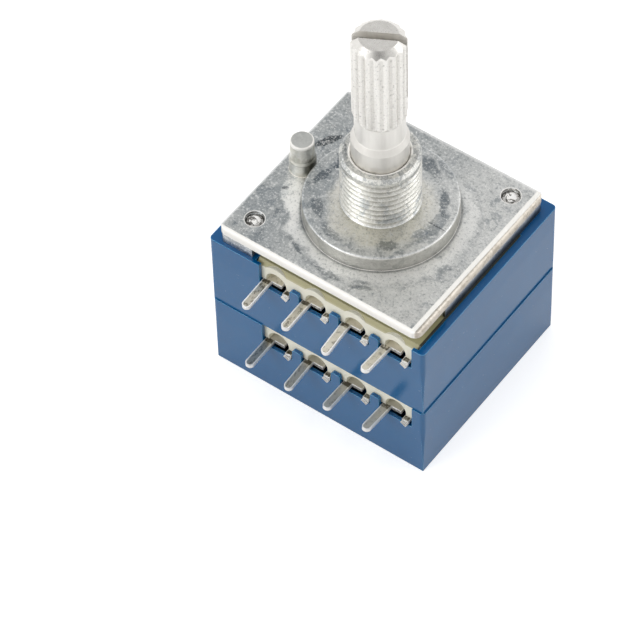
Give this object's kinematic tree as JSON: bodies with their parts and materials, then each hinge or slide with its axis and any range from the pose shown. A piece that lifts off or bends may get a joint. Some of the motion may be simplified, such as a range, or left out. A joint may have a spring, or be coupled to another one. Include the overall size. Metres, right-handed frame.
{
  "type": "rotary potentiometer",
  "caption": "Dual-gang rotary potentiometer with a threaded bushing, a split serrated shaft and rows of solder terminals on two blue housings.",
  "frame": {"origin": "on the shaft axis at the boss's panel face, where the part meets the panel", "axes": "+Z out along the shaft; -Y toward the terminals; the locating lug stands on the -X side"},
  "size_m": [0.0286, 0.0292, 0.0511],
  "materials": {
    "cast_zinc": "raw die-cast zinc, mottled satin",
    "turned_shaft": "turned and rolled light metal, satin",
    "white_nylon": "natural nylon",
    "plain_steel": "zinc-plated sheet steel",
    "blue_housing": "moulded blue thermoplastic, semi-gloss",
    "cream_board": "cream moulded laminate",
    "carbon_print": "printed carbon",
    "silver_print": "printed silver",
    "ivory_plastic": "moulded natural plastic",
    "spring_bronze": "phosphor bronze strip",
    "tinned_terminal": "tin-plated brass strip",
    "nickel_screw": "nickel-plated steel"
  },
  "bodies": {
    "body": {"mounting_plate": "cast_zinc", "thrust_washer": "white_nylon", "front_housing": "blue_housing", "rear_housing": "blue_housing", "front_carrier": "cream_board", "rear_carrier": "cream_board", "front_track": "carbon_print", "rear_track": "carbon_print", "front_collector": "silver_print", "rear_collector": "silver_print", "front_terminal_1": "tinned_terminal", "front_terminal_2": "tinned_terminal", "front_terminal_3": "tinned_terminal", "front_terminal_4": "tinned_terminal", "rear_terminal_1": "tinned_terminal", "rear_terminal_2": "tinned_terminal", "rear_terminal_3": "tinned_terminal", "rear_terminal_4": "tinned_terminal", "left_screw": "nickel_screw", "right_screw": "nickel_screw"},
    "shaft_group": {"shaft": "turned_shaft", "stop_plate": "plain_steel", "front_rotor": "ivory_plastic", "rear_rotor": "ivory_plastic", "front_wiper": "spring_bronze", "rear_wiper": "spring_bronze"}
  },
  "joints": [
    {"name": "shaft_turn", "type": "hinge", "parent": "body", "child": "shaft_group", "pos_m": [0, 0, 0], "axis": [0, 0, 1], "range_deg": [-150, 150]}
  ]
}
